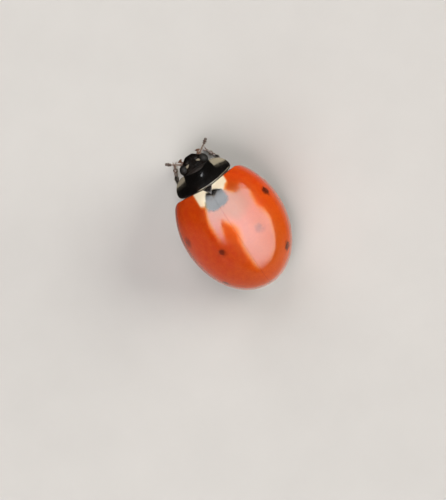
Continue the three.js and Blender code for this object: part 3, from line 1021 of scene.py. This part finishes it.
def belly_surface(start, end, relief, count):
    """The lower side of the body between two stations, as open cross-sections. Relief lifts or lowers it."""
    along = np.linspace(start, end, count)
    reach = np.clip((along - CASE_MIDDLE) / BELLY_HALF_LENGTH, -0.999, 0.999)
    half = BELLY_HALF_WIDTH * np.sqrt(1 - reach**2)
    x = half[:, None] * np.sin(np.linspace(-math.pi / 2, math.pi / 2, 65))
    y = along[:, None] * np.ones_like(x)
    deep = BELLY_DEPTH * np.sqrt(np.clip(1 - (x / BELLY_HALF_WIDTH) ** 2 - reach[:, None] ** 2, 0, 1))
    return np.stack([x, y, RIM + 0.04 - deep + relief(np.abs(x), y)], axis=-1)


def belly_rings(start, end, relief, count):
    """Closed cross-sections of the body between two stations, flat on top under the wing cases."""
    lower = belly_surface(start, end, relief, count)
    top = lower * (0.96, 1, 0) + (0, 0, RIM + 0.3)
    return np.concatenate([lower, top[:, ::-1]], axis=1)


def ventrite_relief(x, y):
    """Overlapping rings of the belly, each a step below the next, and a curved line behind each hind leg."""
    bowed = y + 0.05 * (x / BELLY_HALF_WIDTH) ** 2
    relief = np.zeros_like(y)
    for start, end in zip(VENTRITES, VENTRITES[1:]):
        share = (bowed - start) / (end - start)
        relief += np.where((share > 0) & (share <= 1), 0.075 * (1 - share**2), 0)
    off_leg = x - 0.85
    arc = 1.42 + 0.42 * np.sqrt(np.clip(1 - (off_leg / 0.55) ** 2, 0, 1))
    relief += 0.012 * groove(y - arc) * (np.abs(off_leg) < 0.5)
    return relief - 0.03


def breast_relief(x, y):
    """Seams between the plates of the thorax, and a swelling between the middle and hind leg of each side."""
    off_flank = x - 1.42 - 0.14 * y
    middle_seam = 0.03 * groove(x, 0.02) * (y > 0.1)
    cross_seam = 0.04 * groove(y - 0.04 - 0.03 * np.cos(2 * x), 0.025)
    side_seam = 0.035 * groove(off_flank, 0.022) * (y > 0.0)
    side_step = 0.05 * smooth_step(-0.05, 0.12, off_flank)
    swelling = 0.05 * groove(x - 0.75, 0.5) * groove(y - 0.85, 0.3)
    return middle_seam + cross_seam + side_seam + side_step - swelling


def keeled(points):
    """A unit ball with a low ridge along its underside."""
    x, z = points[..., 0], points[..., 2]
    ridge = 0.1 * groove(x, 0.14) * smooth_step(0.3, 0.9, -z)
    return points - ridge[..., None] * (0, 0, 1)


def underside():
    """Belly, breast and neck plates, with their hairs."""
    tip, last_hair = (CASE_MIDDLE + BELLY_HALF_LENGTH * share for share in (0.995, 0.95))
    belly = Form()
    belly.loft(belly_rings(WAIST, tip, ventrite_relief, 190))
    settle(belly.piece("belly_rings", body_finish()), "black_body", "abdomen")
    breast = Form()
    plates = belly_rings(BREAST_FRONT, WAIST, breast_relief, 100)
    front = np.clip((plates[:, :1, 1] - BREAST_FRONT) / 0.35, 0.02, 1)
    blunt = np.sqrt(1 - (1 - front) ** 2)  # rounds the front end off
    middle = RIM + 0.05
    plates[..., 0] *= 0.6 + 0.4 * blunt
    plates[..., 2] = middle + (plates[..., 2] - middle) * blunt
    breast.loft(plates)
    breast.loft(station_rings(COLLAR_STATIONS, power=2.1))
    settle(breast.piece("breast_plates", body_finish()), "black_body", "thorax")
    coat = Coat(seed=11)
    coat.grow(belly_surface(WAIST, last_hair, ventrite_relief, 60), 1500, 0.09, 1.6)
    coat.grow(belly_surface(-0.2, WAIST, breast_relief, 40), 700, 0.08, 1.6)
    settle(coat.piece("belly_hairs", 0.006), "black_body", "abdomen", "thorax")
    neck = Form()
    neck.loft(ball_rings((0, -0.78, RIM + 0.5), (1.22, 0.7, 0.68), keeled, around=56, along=36))
    settle(neck.piece("neck_plates", body_finish()), "black_body", "prothorax")


# ---- Legs ----
def stepped(leg, shift):
    """A leg moved along y for its step: the knee by half, ankle and toe in full."""
    return [np.array(point) + (0, shift * share, 0) for point, share in zip(leg, (0, 0.5, 1, 1))]


# Radii along each part of a leg, as (place, radius) keys. Each of a foot's three segments has its start and
# end on the foot's line, its narrow and wide radius, and its half thickness.
COXA_SIZE = (0.34, 0.22, 0.17)
FEMUR_WIDTHS = ((0, 0.1), (0.2, 0.17), (0.5, 0.19), (0.85, 0.13), (1, 0.09))
FEMUR_HEIGHTS = ((0, 0.1), (0.2, 0.13), (0.5, 0.14), (0.85, 0.11), (1, 0.09))
TIBIA_RADII = ((0, 0.07), (0.12, 0.085), (0.6, 0.09), (0.92, 0.11), (1, 0.09))
TARSUS = ((0, 0.36, 0.05, 0.085, 0.07), (0.3, 0.66, 0.06, 0.12, 0.075), (0.56, 1, 0.045, 0.06, 0.05))
ANKLE_HEIGHT = 0.16


def leg_forms(joints):
    """The rings of one left leg's pieces, from coxa to tarsus, and the line of its foot."""
    hip, knee, ankle, toe = joints
    thigh = knee - hip
    bend = unit(np.cross(thigh, ankle - knee))
    if bend[2] < 0:
        bend = -bend
    coxa = ball_rings(hip + (-0.05, 0, 0.06), COXA_SIZE, around=28, along=20)
    femur_line = [hip + thigh * 0.12, (hip + knee) / 2 + (0, 0, 0.02), knee]
    femur = limb_rings(femur_line, FEMUR_WIDTHS, FEMUR_HEIGHTS, up=bend, around=28, along=40)
    near, far = hip + thigh * 0.1 - (0, 0, 0.04), hip + thigh * 0.25 - (0, 0, 0.03)
    short_line = [near, (near + far) / 2, far]
    trochanter = limb_rings(short_line, ((0, 0.11), (1, 0.11)), ((0, 0.1), (1, 0.1)), around=20, along=14)
    foot = np.array((ankle[0], ankle[1], ANKLE_HEIGHT))
    tibia_line = [knee - thigh * 0.02, (knee + foot) / 2 + unit(thigh) * 0.03, foot]
    tibia = limb_rings(tibia_line, TIBIA_RADII, around=24, along=40)
    arch = foot * (0.45, 0.45, 0) + toe * (0.55, 0.55, 0) + (0, 0, 0.09)
    line = np.array([foot, arch, toe * (1, 1, 0) + (0, 0, 0.08)])
    tarsus = []
    for start, end, thin, thick, flat in TARSUS:
        path = smooth_curve([0, 0.5, 1], line, np.array([start, (start + end) / 2, end]))
        widths = ((0, thin), (0.7, thick), (1, thick * 0.8))
        tarsus.append(limb_rings(path, widths, ((0, flat), (1, flat)), around=20, along=18))
    return (coxa, femur, trochanter, tibia, *tarsus), line


def claw_rings(line, length):
    """Two hooked claws, each with a small tooth at its base."""
    tip = line[-1]
    ahead = unit((line[-1] - line[-2]) * (1, 1, 0))
    side = np.cross(ahead, (0, 0, 1))
    widths, heights = ((0, 0.028), (0.5, 0.024), (1, 0.004)), ((0, 0.03), (1, 0.004))
    rings = []
    for turn in (-1, 1):
        root = tip - 0.02 * ahead + 0.02 * turn * side
        over = tip + (0.5 * ahead + 0.32 * turn * side) * length + (0, 0, 0.03)
        point = tip + (0.92 * ahead + 0.5 * turn * side) * length - (0, 0, 0.068)
        rings.append(limb_rings([root, over, point], widths, heights, around=12, along=18))
        tooth = root + (0.42 * ahead + 0.2 * turn * side) * length - (0, 0, 0.045)
        path = [root, (root + tooth) / 2, tooth]
        rings.append(limb_rings(path, ((0, 0.022), (1, 0.005)), around=10, along=10))
    return rings


def leg(place, side, sign, forward, coat):
    """One whole leg with its claws and hairs."""
    parts, line = leg_forms(stepped(LEGS[place], forward * STRIDE))
    size = sizes()
    form, claws = Form(sign), Form(sign)
    for rings in parts:
        form.loft(rings)
    for rings in claw_rings(line, size["claw"]):
        claws.loft(rings)
    nodes = [f"leg_{place}_{side}_{part}" for part in ("coxa", "femur", "tibia", "tarsus")]
    settle(form.piece(f"leg_{place}_{side}", leg_finish()), "leg", *nodes)
    settle(claws.piece(f"claws_{place}_{side}", claw_finish()), "leg", nodes[-1])
    hair, count = size["hair"], bpy.context.scene.ladybird_sizes.hair_count
    _, femur, _, tibia, *tarsus = (mirrored(rings, sign) for rings in parts)
    coat.grow(femur, count // 3, hair * 0.7, 1.2, (0.3, 0.95))
    coat.grow(tibia, count, hair, 1.0, (0.15, 0.97))
    for segment in tarsus:
        coat.grow(segment, count // 5, hair * 0.6, 0.9)
        coat.grow(segment, count, hair * 0.55, 0.4, facing=(0, 0, -1))


# ---- Stage ----
CAMERA_TILT = 2.4  # degrees towards the insect's right
CAMERA_TURN = 33.0  # degrees from the top of the view to the head, towards the left
VIEW_CENTRE = (1.12, 2.76)  # where the middle of the view meets the level of the rim, x and y
CARD_RADIUS = 80.0
STAGE_RADIUS = 300.0
BOWL_RADIUS = 260.0
# The kinds of ray that the cards, and the backdrop, are hidden from.
GLOSS_ONLY = ("camera", "diffuse", "shadow")
SIGHT_ONLY = ("diffuse", "glossy", "transmission", "shadow", "volume_scatter")
LAMP_WIDTH = 55  # degrees
# Name, the direction from the insect to the light's middle, and colour.
LAMPS = (
    ("key", (-0.96, 0.12, 0.22), (1.0, 0.95, 0.86)),
    ("fill", (0.55, 0.47, 0.69), (1.0, 0.94, 0.9)),
    ("front", (-0.1, -0.85, 0.52), (1.0, 0.94, 0.9)),
)
# Where the overhead card's reflection shows on the back, as the camera sees it against the level of the rim.
# Each row holds y, the two edges measured to the insect's right, how wide each edge is softened, and the
# brightness.
CARD_RIGHT = (
    (0.08, 0.3, 0.6, 0.03, 0.05, 0.0),
    (0.2, 0.1, 0.66, 0.04, 0.1, 0.7),
    (0.28, -0.14, 0.7, 0.04, 0.15, 0.85),
    (0.42, -0.36, 0.78, 0, 0.2, 1.0),
    (0.56, -0.36, 0.98, 0, 0.3, 1.0),
    (0.66, -0.36, 1.1, 0, 0.35, 1.0),
    (0.72, -0.36, 1.77, 0, 0.3, 0.9),
    (0.8, -0.36, 1.77, 0, 0.3, 0.95),
    (1.0, -0.36, 1.77, 0, 0.3, 1.0),
    (1.2, -0.36, 1.69, 0, 0.3, 1.0),
    (1.42, -0.36, 1.67, 0, 0.28, 1.0),
    (1.5, -0.33, 1.66, 0.12, 0.26, 1.0),
    (1.7, -0.36, 1.63, 0.3, 0.26, 1.0),
    (1.85, -0.26, 1.66, 0.34, 0.28, 1.0),
    (2.1, -0.12, 1.82, 0.36, 0.38, 1.0),
    (2.5, -0.12, 1.94, 0.36, 0.42, 1.0),
    (2.8, -0.2, 1.92, 0.32, 0.38, 1.0),
    (3.1, -0.26, 1.83, 0.3, 0.4, 0.95),
    (3.5, -0.3, 1.74, 0.3, 0.44, 0.84),
    (3.85, -0.28, 1.7, 0.3, 0.5, 0.78),
    (4.1, -0.28, 1.55, 0.3, 0.65, 0.7),
    (4.3, -0.28, 1.3, 0.3, 0.7, 0.54),
    (4.5, -0.24, 1.0, 0.3, 0.7, 0.28),
    (4.68, -0.1, 0.6, 0.3, 0.5, 0.0),
)
CARD_PEAK = (
    (0.28, 1.38, 1.75, 0.15, 0.15, 0.0),
    (0.4, 1.3, 1.8, 0.2, 0.2, 0.22),
    (0.55, 1.15, 1.82, 0.25, 0.25, 0.5),
    (0.7, 1.0, 1.8, 0.2, 0.3, 0.8),
)
CARD_LEFT = (
    (0.0, -0.85, -0.35, 0.25, 0.04, 0.3),
    (0.14, -0.76, -0.12, 0.25, 0.04, 0.5),
    (0.22, -0.7, -0.02, 0.2, 0.04, 0.9),
    (0.36, -0.68, -0.04, 0.18, 0.04, 1.0),
    (0.42, -0.72, -0.36, 0.2, 0, 1.0),
    (0.55, -0.8, -0.36, 0.22, 0, 1.0),
    (0.8, -0.9, -0.36, 0.22, 0, 1.0),
    (1.0, -0.99, -0.36, 0.22, 0, 1.0),
    (1.2, -1.05, -0.36, 0.24, 0, 0.98),
    (1.42, -1.09, -0.36, 0.26, 0, 0.95),
    (1.5, -1.1, -0.38, 0.26, 0.1, 0.95),
    (1.7, -1.1, -0.4, 0.3, 0.2, 0.85),
    (1.85, -1.1, -0.49, 0.28, 0.2, 0.75),
    (2.1, -1.1, -0.57, 0.26, 0.2, 0.6),
    (2.3, -1.1, -0.62, 0.26, 0.2, 0.36),
    (2.5, -1.1, -0.65, 0.26, 0.2, 0.15),
    (2.65, -1.0, -0.7, 0.2, 0.2, 0.0),
)
# The same for a small gleam on the pronotum.
CARD_GLINT = ((-1.05, 0.0, 0.1, 0, 0, 1.0), (-1.0, -0.02, 0.12, 0, 0, 1.0), (-0.94, 0.0, 0.08, 0, 0, 1.0))
CARD_COLOR = np.array((0.93, 0.96, 1.0))
CARD_FADE = 0.36  # share of the light lost towards the insect's far right
# How far red, green and blue reach past a soft edge, as a share of its width.
CARD_FRINGE = np.array((0.6, 0.25, 0.0))


def camera_frame():
    """Directions of the view's right, top and back towards the camera, in the frame of the solids."""
    tilt, turn = math.radians(CAMERA_TILT), math.radians(CAMERA_TURN)
    back = Vector((-math.sin(tilt), 0, math.cos(tilt)))
    insect_right = Vector((-math.cos(tilt), 0, -math.sin(tilt)))
    tail = Vector((0, 1, 0))
    right = math.cos(turn) * insect_right + math.sin(turn) * tail
    top = math.sin(turn) * insect_right - math.cos(turn) * tail
    return right, top, back


def camera_place():
    """Where the camera stands, in millimetres in the insect's frame."""
    distance = bpy.context.scene.ladybird_light.camera_distance / MM
    target = np.array((*VIEW_CENTRE, RIM))
    return target + distance * np.array(camera_frame()[2])


def add_camera():
    """A long lens that looks straight down on the insect's back."""
    light = bpy.context.scene.ladybird_light
    data = bpy.data.cameras.new("camera")
    data.sensor_width = 36
    data.lens = data.sensor_width * light.camera_distance / light.frame_height
    data.clip_start = 0.002
    data.clip_end = 10
    camera = bpy.data.objects.new("camera", data)
    right, top, back = camera_frame()
    place = Vector((camera_place() + (0, ZERO_Y, 0)) * MM)
    camera.matrix_world = Matrix.Translation(place) @ Matrix((right, top, back)).transposed().to_4x4()
    bpy.context.scene.collection.objects.link(camera)
    bpy.context.scene.camera = camera


def plain_emitter(name, shade, strength):
    """A material that only gives light."""
    material = bpy.data.materials.new(name)
    material.use_nodes = True
    tree = material.node_tree
    tree.nodes.clear()
    emit = tree.nodes.new("ShaderNodeEmission")
    emit.inputs["Color"].default_value = shade
    emit.inputs["Strength"].default_value = strength
    output = tree.nodes.new("ShaderNodeOutputMaterial")
    tree.links.new(emit.outputs[0], output.inputs["Surface"])
    return material


def card_light(b, row):
    """Colour of a card's light at distances b to the insect's right, warmer towards its soft edges."""
    _, inner, outer, soft_inner, soft_outer, level = row
    light = level * (1 - CARD_FADE * smooth_step(0.4, 1.5, b))[:, None] * CARD_COLOR
    for away, soft in ((b - inner, soft_inner), (outer - b, soft_outer)):
        if soft:
            light = light * smooth_step(0, soft, away[:, None] + CARD_FRINGE * soft)
    return light


def stage_piece(form, name, material, hidden_from):
    """A mesh of the stage. It is hidden from the listed kinds of ray."""
    thing = form.piece(name, material)
    for ray in hidden_from:
        setattr(thing, f"visible_{ray}", False)
    return thing


def card_finish(name, strength):
    """A material that gives the light stored on its mesh."""
    material = plain_emitter(name, (1.0, 1.0, 1.0, 1.0), strength)
    tree = material.node_tree
    stored = tree.nodes.new("ShaderNodeVertexColor")
    stored.layer_name = "light"
    tree.links.new(stored.outputs["Color"], tree.nodes["Emission"].inputs["Color"])
    return material


def card_ring(level, eye_place, height):
    """Points of a card that the camera sees mirrored in a surface, above points of the level of the rim."""
    spot = level
    for _ in range(4):
        rise = height(spot[:, 0], spot[:, 1]) - RIM
        spot = level + (eye_place - level) * (rise / (eye_place[2] - RIM))[:, None]
    ray = unit(spot - eye_place)
    normal = outward(height, spot[:, 0], spot[:, 1])
    bounce = ray - 2 * np.sum(ray * normal, axis=-1, keepdims=True) * normal
    bounce[:, 2] = np.maximum(bounce[:, 2], 0.02)
    return spot + CARD_RADIUS * unit(bounce)


def sky_card(name, rows, strength, height=back_height):
    """A curved soft light, shaped so that its reflection on a surface has the given edges."""
    eye_place = camera_place()
    across = 33
    fringe = CARD_FRINGE[0]
    rings, lights = [], []
    for row in rows:
        y, inner, outer, soft_inner, soft_outer, _ = row
        b = np.linspace(inner - fringe * soft_inner, outer + fringe * soft_outer, across)
        level = np.stack([-b, np.full_like(b, y), np.full_like(b, RIM)], axis=-1)
        rings.append(card_ring(level, eye_place, height))
        lights.append(card_light(b, row))
    faces = [
        (i * across + j, i * across + j + 1, (i + 1) * across + j + 1, (i + 1) * across + j)
        for i in range(len(rows) - 1)
        for j in range(across - 1)
    ]
    form = Form()
    form.add(np.concatenate(rings), faces)
    card = stage_piece(form, name, card_finish(name, strength), GLOSS_ONLY)
    stored = card.data.color_attributes.new("light", "FLOAT_COLOR", "POINT")
    colors = np.ones((len(rows) * across, 4))
    colors[:, :3] = np.concatenate(lights)
    stored.data.foreach_set("color", colors.astype(np.float32).ravel())


def dome_ring(turn, height, radius):
    """A level ring of a dome, with height as an angle above the horizon."""
    ring = np.stack([np.cos(turn) * math.cos(height), np.sin(turn) * math.cos(height), 0 * turn], axis=-1)
    return radius * (ring + (0, 0, math.sin(height)))


def bowl_card(bottom, haze):
    """A bowl that only the gloss shows: brightest straight down, with a haze to the left and behind."""
    turn = np.linspace(0, 2 * math.pi, 48, endpoint=False)
    rings = [dome_ring(turn, height, BOWL_RADIUS) for height in np.radians(np.linspace(-89, 55, 30))]
    form = Form()
    form.loft(rings, caps=False)
    finish = Finish("bowl_card", (0.0, 0.0, 0.0, 1.0), 1.0, specular=0.0)
    finish.shader.inputs["Emission Color"].default_value = (1.0, 0.86, 0.76, 1.0)
    x, y, z = (finish.axis(name) for name in "XYZ")
    height = finish.math("MULTIPLY", z, 1 / BOWL_RADIUS)
    straight_down = finish.node("MapRange", height, -0.6, -1.0, 0.0, bottom)
    off_left = finish.node("MapRange", x, 0.0, 0.4 * BOWL_RADIUS, 1.0, 0.35)
    sideways = finish.math("MULTIPLY", x, 0.45 / BOWL_RADIUS)
    behind_left = finish.math("MULTIPLY_ADD", y, 0.9 / BOWL_RADIUS, sideways)
    beside = finish.node("MapRange", behind_left, 0.0, 0.35, 0.0, haze)
    above = finish.ramp(finish.math("MULTIPLY_ADD", x, -0.5 / BOWL_RADIUS, height), 0.0, 0.2)
    glow = finish.math("ADD", finish.both(straight_down, off_left), finish.both(beside, above))
    finish.feed(finish.shader.inputs["Emission Strength"], glow)
    stage_piece(form, "bowl_card", finish.material, GLOSS_ONLY)


def soft_light(name, towards, brightness, shade):
    """A distant soft light that the gloss doesn't show."""
    data = bpy.data.lights.new(name, "SUN")
    data.angle = math.radians(LAMP_WIDTH)
    data.color = shade
    data.energy = brightness
    lamp = bpy.data.objects.new(name, data)
    lamp.rotation_euler = Vector(towards).to_track_quat("Z", "Y").to_euler()
    lamp.visible_glossy = False
    bpy.context.scene.collection.objects.link(lamp)


def paper_stage():
    """A round paper floor, and a plain backdrop behind it."""
    turn = np.linspace(0, 2 * math.pi, 96, endpoint=False)
    floor = Form()
    floor.add(dome_ring(turn, 0, STAGE_RADIUS), [tuple(range(96))])
    paper = Finish("floor_paper", color("floor"), 0.8, specular=0.0)
    paper.paint(paper.mix(paper.noise(3.0, 3.0), color("floor", 0.985), color("floor", 1.015)))
    stage_piece(floor, "floor", paper.material, ("glossy",))
    sweep = Form()
    heights = np.linspace(0, math.pi / 2 - 0.02, 12)
    sweep.loft([dome_ring(turn, height, STAGE_RADIUS) for height in heights], caps=False)
    stage_piece(sweep, "backdrop", plain_emitter("backdrop_paper", color("backdrop"), 1.0), SIGHT_ONLY)


def add_stage():
    """Floor, backdrop, lights and camera."""
    scene = bpy.context.scene
    light = scene.ladybird_light
    paper_stage()
    sky_card("sky_card_right", CARD_RIGHT, light.sky)
    sky_card("sky_card_left", CARD_LEFT, light.sky)
    sky_card("sky_card_peak", CARD_PEAK, light.sky)
    sky_card("sky_card_glint", CARD_GLINT, 2.4 * light.sky, pronotum_top)
    bowl_card(light.bowl, light.haze)
    for name, towards, shade in LAMPS:
        soft_light(name, towards, getattr(light, name), shade)
    scene.world = bpy.data.worlds.new("studio")
    scene.world.use_nodes = True
    backing = scene.world.node_tree.nodes["Background"]
    backing.inputs["Color"].default_value = (0.95, 0.97, 1.0, 1.0)
    backing.inputs["Strength"].default_value = light.ambient
    scene.view_settings.view_transform = "Standard"
    add_camera()


# ---- Operators ----
class LADYBIRD_OT_wing_cases(bpy.types.Operator):
    """Build both wing cases and the scutellum"""

    bl_idname = "ladybird.wing_cases"
    bl_label = "Wing cases"

    def execute(self, context):
        for side, sign in SIDES.items():
            wing_case(side, sign)
        scutellum()
        return {"FINISHED"}


class LADYBIRD_OT_pronotum(bpy.types.Operator):
    """Build the collar plate"""

    bl_idname = "ladybird.pronotum"
    bl_label = "Pronotum"

    def execute(self, context):
        pronotum()
        return {"FINISHED"}


class LADYBIRD_OT_head(bpy.types.Operator):
    """Build the head with its eyes, feelers and mouth parts"""

    bl_idname = "ladybird.head"
    bl_label = "Head"

    def execute(self, context):
        head()
        for side, sign in SIDES.items():
            eye(side, sign)
            feeler(side, sign)
            mouth_parts(side, sign)
        return {"FINISHED"}


class LADYBIRD_OT_underside(bpy.types.Operator):
    """Build the belly, breast and neck plates"""

    bl_idname = "ladybird.underside"
    bl_label = "Underside"

    def execute(self, context):
        underside()
        return {"FINISHED"}


class LADYBIRD_OT_legs(bpy.types.Operator):
    """Build the six legs and their claws"""

    bl_idname = "ladybird.legs"
    bl_label = "Legs"

    def execute(self, context):
        for side, sign in SIDES.items():
            coat = Coat(seed=sign + 3)
            for index, place in enumerate(LEGS):
                forward = -1 if (index % 2 == 0) == (sign > 0) else 1
                leg(place, side, sign, forward, coat)
            nodes = [f"leg_{place}_{side}_tibia" for place in LEGS]
            settle(coat.piece(f"leg_hairs_{side}"), "leg", *nodes)
        return {"FINISHED"}


class LADYBIRD_OT_stage(bpy.types.Operator):
    """Add the floor, the lights and the camera"""

    bl_idname = "ladybird.stage"
    bl_label = "Stage"

    def execute(self, context):
        add_stage()
        return {"FINISHED"}


OPERATORS = (
    LADYBIRD_OT_wing_cases,
    LADYBIRD_OT_pronotum,
    LADYBIRD_OT_head,
    LADYBIRD_OT_underside,
    LADYBIRD_OT_legs,
    LADYBIRD_OT_stage,
)


class LADYBIRD_PT_panel(bpy.types.Panel):
    """Lists the steps, the sizes and the colours"""

    bl_idname = "LADYBIRD_PT_panel"
    bl_label = "Ladybird"
    bl_space_type = "VIEW_3D"
    bl_region_type = "UI"
    bl_category = "Ladybird"

    def draw(self, context):
        for operator in OPERATORS:
            self.layout.operator(operator.bl_idname)
        for group in GROUPS:
            for key in GROUPS[group].__annotations__:
                self.layout.prop(getattr(context.scene, group), key)


GROUPS = {"ladybird_sizes": LadybirdSizes, "ladybird_colors": LadybirdColors, "ladybird_light": LadybirdLight}
CLASSES = (*GROUPS.values(), *OPERATORS, LADYBIRD_PT_panel)


def register():
    for kind in CLASSES:
        bpy.utils.register_class(kind)
    for name, group in GROUPS.items():
        setattr(bpy.types.Scene, name, PointerProperty(type=group))


def unregister():
    for name in GROUPS:
        delattr(bpy.types.Scene, name)
    for kind in reversed(CLASSES):
        bpy.utils.unregister_class(kind)


def main():
    """Builds every piece."""
    register()
    for operator in OPERATORS:
        getattr(bpy.ops.ladybird, operator.bl_idname.split(".")[1])()


if __name__ == "__main__":
    main()
